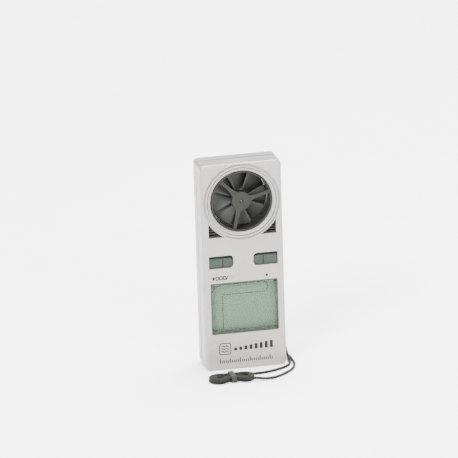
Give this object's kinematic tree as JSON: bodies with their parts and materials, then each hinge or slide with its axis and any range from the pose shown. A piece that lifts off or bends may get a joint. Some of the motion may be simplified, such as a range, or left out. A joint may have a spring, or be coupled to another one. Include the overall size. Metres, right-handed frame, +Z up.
{
  "type": "handheld weather meter",
  "caption": "Pocket wind meter with a ducted impeller in its head, front buttons, a small display, a coin-cell cover on the back and a cord lanyard.",
  "frame": {"origin": "centre of the flat base, on the surface the meter stands on", "axes": "+Z up towards the impeller, -Y out of the display face, +X to the right when the display is read"},
  "size_m": [0.0402, 0.036, 0.088],
  "materials": {
    "case": "satin silver-grey moulding",
    "seal": "matte",
    "cartridge": "satin charcoal",
    "rotor": "gloss charcoal",
    "button": "satin grey-green",
    "window": "clear polished",
    "display": "grey-green reflective display",
    "white_plastic": "matte",
    "backlight": "diffusing film",
    "board": "solder mask",
    "chip": "moulded resin",
    "steel": "bright plated",
    "brass": "turned",
    "cord": "braided cord"
  },
  "bodies": {
    "case": {"front_shell": "case", "rear_shell": "case", "case_gasket": "seal", "duct_gasket": "seal", "contact_strip_lower": "seal", "contact_strip_upper": "seal", "display_frame": "seal", "vent_grille_left": "cartridge", "vent_grille_right": "cartridge", "display_window": "window", "display_glass": "display", "display_holder": "white_plastic", "backlight_panel": "backlight", "circuit_board": "board", "processor": "chip", "rotation_sensor": "chip", "smoothing_capacitor": "chip", "switch_housing_left": "chip", "switch_housing_right": "chip", "thermistor": "chip", "case_screw_top_left": "steel", "case_screw_top_right": "steel", "case_screw_base_left": "steel", "case_screw_base_right": "steel", "coin_cell": "steel", "timing_crystal": "steel", "battery_contact_negative": "brass", "battery_contact_positive": "brass", "lanyard_cord": "cord", "lanyard_hank": "cord", "lanyard_tie": "cord"},
    "cartridge": {"cartridge_frame": "cartridge", "rear_spider": "cartridge", "front_bearing": "brass", "rear_bearing": "brass"},
    "impeller": {"impeller": "rotor", "impeller_shaft": "steel", "rotor_magnet": "steel"},
    "button_left": {"button_left": "button", "switch_plunger_left": "white_plastic"},
    "button_right": {"button_right": "button", "switch_plunger_right": "white_plastic"},
    "cover_seal": {"cover_seal": "seal"},
    "battery_cover": {"battery_cover": "case"}
  },
  "joints": [
    {"name": "cartridge_slide", "type": "slide", "parent": "case", "child": "cartridge", "axis": [0, -1, 0], "range_m": [0, 0.016]},
    {"name": "impeller_spin", "type": "hinge", "parent": "cartridge", "child": "impeller", "pos_m": [0, 0, 0.0716], "axis": [0, 1, 0], "continuous": true},
    {"name": "button_left_press", "type": "slide", "parent": "case", "child": "button_left", "axis": [0, 1, 0], "range_m": [0, 0.0005], "stiffness_N_per_m": 1500},
    {"name": "button_right_press", "type": "slide", "parent": "case", "child": "button_right", "axis": [0, 1, 0], "range_m": [0, 0.0005], "stiffness_N_per_m": 1500},
    {"name": "cover_lift", "type": "slide", "parent": "case", "child": "cover_seal", "axis": [0, 1, 0], "range_m": [0, 0.008]},
    {"name": "cover_turn", "type": "hinge", "parent": "cover_seal", "child": "battery_cover", "pos_m": [0, 0.006, 0.027], "axis": [0, 1, 0], "range_deg": [0, 60]}
  ]
}
